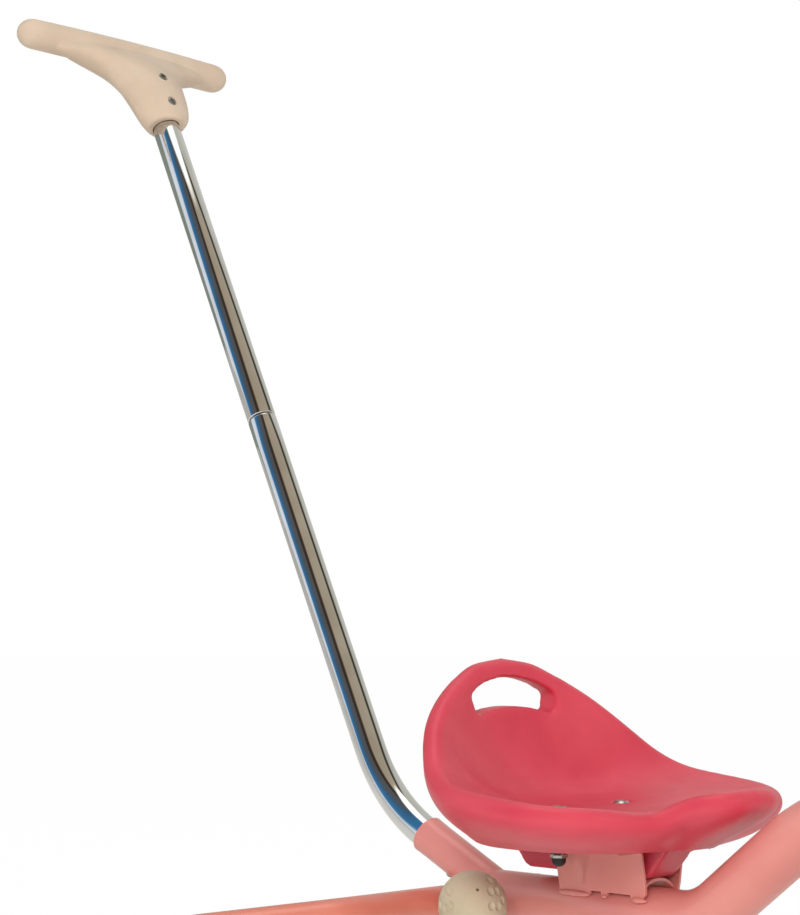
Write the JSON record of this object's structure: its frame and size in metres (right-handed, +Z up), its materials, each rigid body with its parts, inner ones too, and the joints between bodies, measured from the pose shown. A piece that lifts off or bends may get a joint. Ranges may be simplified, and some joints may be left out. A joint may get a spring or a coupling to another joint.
{
  "type": "tricycle",
  "caption": "Child's pedal tricycle with a moulded bucket seat, bent tube frame, rear arch axle carrier, parking brake with a ball knob and a removable push handle.",
  "frame": {"origin": "on the floor, under the middle of the overall length and width", "axes": "+X forward, +Y to the rider's left, +Z up"},
  "size_m": [1.147, 0.5724, 1.0009],
  "materials": {
    "main_tube": "gloss pink powder coat",
    "head_tube": "gloss pink powder coat",
    "handle_socket": "gloss pink powder coat",
    "rear_arch": "gloss pink powder coat",
    "seat_bracket": "gloss pink powder coat",
    "fork_blades": "gloss pink powder coat",
    "steerer": "gloss pink powder coat",
    "left_fork_eye": "gloss pink powder coat",
    "right_fork_eye": "gloss pink powder coat",
    "left_brake_clip": "gloss pink powder coat",
    "right_brake_clip": "gloss pink powder coat",
    "lower_push_tube": "polished chrome plate",
    "upper_push_tube": "polished chrome plate",
    "handlebar": "polished chrome plate",
    "stem_clamp": "polished chrome plate",
    "socket_button": "bright zinc-plated steel",
    "joint_button": "bright zinc-plated steel",
    "grip_screw_1": "bright zinc-plated steel",
    "grip_screw_2": "bright zinc-plated steel",
    "left_seat_bolt": "bright zinc-plated steel",
    "right_seat_bolt": "bright zinc-plated steel",
    "rear_axle": "bright zinc-plated steel",
    "left_inner_washer": "bright zinc-plated steel",
    "right_inner_washer": "bright zinc-plated steel",
    "crank": "bright zinc-plated steel",
    "clamp_bolt": "bright zinc-plated steel",
    "brake_rod": "bright zinc-plated steel",
    "brake_lever": "bright zinc-plated steel",
    "push_grip": "satin moulded plastic",
    "left_rear_wheel": "satin moulded plastic",
    "right_rear_wheel": "satin moulded plastic",
    "front_wheel": "satin moulded plastic",
    "left_pedal": "satin moulded plastic",
    "right_pedal": "satin moulded plastic",
    "left_hand_grip": "satin moulded plastic",
    "right_hand_grip": "satin moulded plastic",
    "brake_knob": "satin moulded plastic",
    "seat": "satin moulded plastic",
    "left_hub_cap": "satin moulded plastic",
    "right_hub_cap": "satin moulded plastic",
    "left_pedal_cap": "satin moulded plastic",
    "right_pedal_cap": "satin moulded plastic",
    "front_tyre": "matt rubber",
    "left_rear_tyre": "matt rubber",
    "right_rear_tyre": "matt rubber",
    "left_brake_boot": "matt rubber",
    "right_brake_boot": "matt rubber",
    "left_seat_nut": "matt moulded plastic",
    "right_seat_nut": "matt moulded plastic",
    "lower_head_bush": "matt moulded plastic",
    "upper_head_bush": "matt moulded plastic",
    "left_wheel_inner_bush": "plain nylon",
    "left_wheel_outer_bush": "plain nylon",
    "right_wheel_inner_bush": "plain nylon",
    "right_wheel_outer_bush": "plain nylon",
    "left_crank_bush": "plain nylon",
    "right_crank_bush": "plain nylon"
  },
  "bodies": {
    "frame": {"main_tube": "main_tube", "head_tube": "head_tube", "handle_socket": "handle_socket", "rear_arch": "rear_arch", "seat_bracket": "seat_bracket", "rear_axle": "rear_axle", "left_inner_washer": "left_inner_washer", "right_inner_washer": "right_inner_washer", "left_hub_cap": "left_hub_cap", "right_hub_cap": "right_hub_cap", "lower_head_bush": "lower_head_bush", "upper_head_bush": "upper_head_bush", "lower_push_tube": "lower_push_tube", "upper_push_tube": "upper_push_tube", "push_grip": "push_grip", "grip_screw_1": "grip_screw_1", "grip_screw_2": "grip_screw_2", "left_brake_clip": "left_brake_clip", "right_brake_clip": "right_brake_clip", "seat": "seat", "left_seat_bolt": "left_seat_bolt", "right_seat_bolt": "right_seat_bolt", "left_seat_nut": "left_seat_nut", "right_seat_nut": "right_seat_nut"},
    "fork": {"fork_blades": "fork_blades", "steerer": "steerer", "left_fork_eye": "left_fork_eye", "right_fork_eye": "right_fork_eye", "left_crank_bush": "left_crank_bush", "right_crank_bush": "right_crank_bush", "stem_clamp": "stem_clamp", "clamp_bolt": "clamp_bolt", "handlebar": "handlebar", "left_hand_grip": "left_hand_grip", "right_hand_grip": "right_hand_grip"},
    "front_wheel": {"front_wheel": "front_wheel", "front_tyre": "front_tyre", "crank": "crank", "left_pedal_cap": "left_pedal_cap", "right_pedal_cap": "right_pedal_cap"},
    "left_pedal": {"left_pedal": "left_pedal"},
    "right_pedal": {"right_pedal": "right_pedal"},
    "left_rear_wheel": {"left_rear_wheel": "left_rear_wheel", "left_rear_tyre": "left_rear_tyre", "left_wheel_inner_bush": "left_wheel_inner_bush", "left_wheel_outer_bush": "left_wheel_outer_bush"},
    "right_rear_wheel": {"right_rear_wheel": "right_rear_wheel", "right_rear_tyre": "right_rear_tyre", "right_wheel_inner_bush": "right_wheel_inner_bush", "right_wheel_outer_bush": "right_wheel_outer_bush"},
    "parking_brake": {"brake_rod": "brake_rod", "brake_lever": "brake_lever", "brake_knob": "brake_knob", "left_brake_boot": "left_brake_boot", "right_brake_boot": "right_brake_boot"},
    "socket_button": {"socket_button": "socket_button"},
    "joint_button": {"joint_button": "joint_button"}
  },
  "joints": [
    {"name": "steering", "type": "hinge", "parent": "frame", "child": "fork", "pos_m": [0.3685, 0, 0.38], "axis": [-0.2079, 0, 0.9781], "range_deg": [-45, 45]},
    {"name": "front_wheel_spin", "type": "hinge", "parent": "fork", "child": "front_wheel", "pos_m": [0.43351, 0, 0.14], "axis": [0, 1, 0], "continuous": true},
    {"name": "left_pedal_spin", "type": "hinge", "parent": "front_wheel", "child": "left_pedal", "pos_m": [0.35851, 0.121, 0.14], "axis": [0, 1, 0], "continuous": true},
    {"name": "right_pedal_spin", "type": "hinge", "parent": "front_wheel", "child": "right_pedal", "pos_m": [0.50851, -0.121, 0.14], "axis": [0, 1, 0], "continuous": true},
    {"name": "left_rear_wheel_spin", "type": "hinge", "parent": "frame", "child": "left_rear_wheel", "pos_m": [-0.23745, 0.2519, 0.105], "axis": [0, 1, 0], "continuous": true},
    {"name": "right_rear_wheel_spin", "type": "hinge", "parent": "frame", "child": "right_rear_wheel", "pos_m": [-0.23745, -0.2519, 0.105], "axis": [0, 1, 0], "continuous": true},
    {"name": "brake_lever_turn", "type": "hinge", "parent": "frame", "child": "parking_brake", "pos_m": [-0.1375, 0, 0.2026], "axis": [0, 1, 0], "range_deg": [0, 27]},
    {"name": "socket_button_press", "type": "slide", "parent": "frame", "child": "socket_button", "axis": [0.4384, 0, 0.8988], "range_m": [0, 0.0048], "stiffness_N_per_m": 400, "springref_m": -0.002},
    {"name": "joint_button_press", "type": "slide", "parent": "frame", "child": "joint_button", "axis": [0.8965, 0, 0.4431], "range_m": [0, 0.0048], "stiffness_N_per_m": 400, "springref_m": -0.002}
  ]
}
